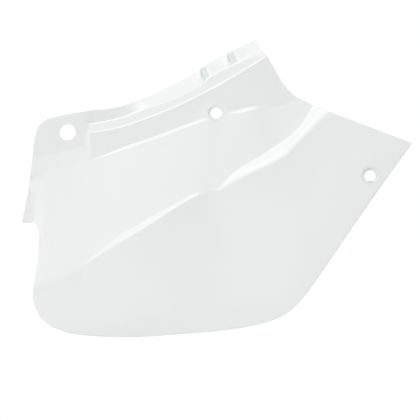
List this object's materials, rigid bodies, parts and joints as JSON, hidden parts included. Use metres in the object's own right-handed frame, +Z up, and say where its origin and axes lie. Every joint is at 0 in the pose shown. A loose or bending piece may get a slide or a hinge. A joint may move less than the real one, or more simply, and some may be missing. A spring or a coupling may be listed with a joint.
{
  "type": "radiator shroud",
  "caption": "Right-hand motorcycle radiator shroud: a thin folded white plastic panel with a recessed rear seat, a railed upper flange and three fixing holes",
  "frame": {"origin": "centre of the rear hole, on the outer face of its recessed seat", "axes": "+X forward along the bike to the pointed front end, +Z up as fitted, -Y out of the outer face, away from the bike"},
  "size_m": [0.4095, 0.0541, 0.313],
  "materials": {
    "white_plastic": "glossy moulded polypropylene in a milky white with a faint cool tint, smooth all over, slightly translucent at thin edges"
  },
  "bodies": {
    "root": {"shroud": "white_plastic"}
  },
  "joints": []
}
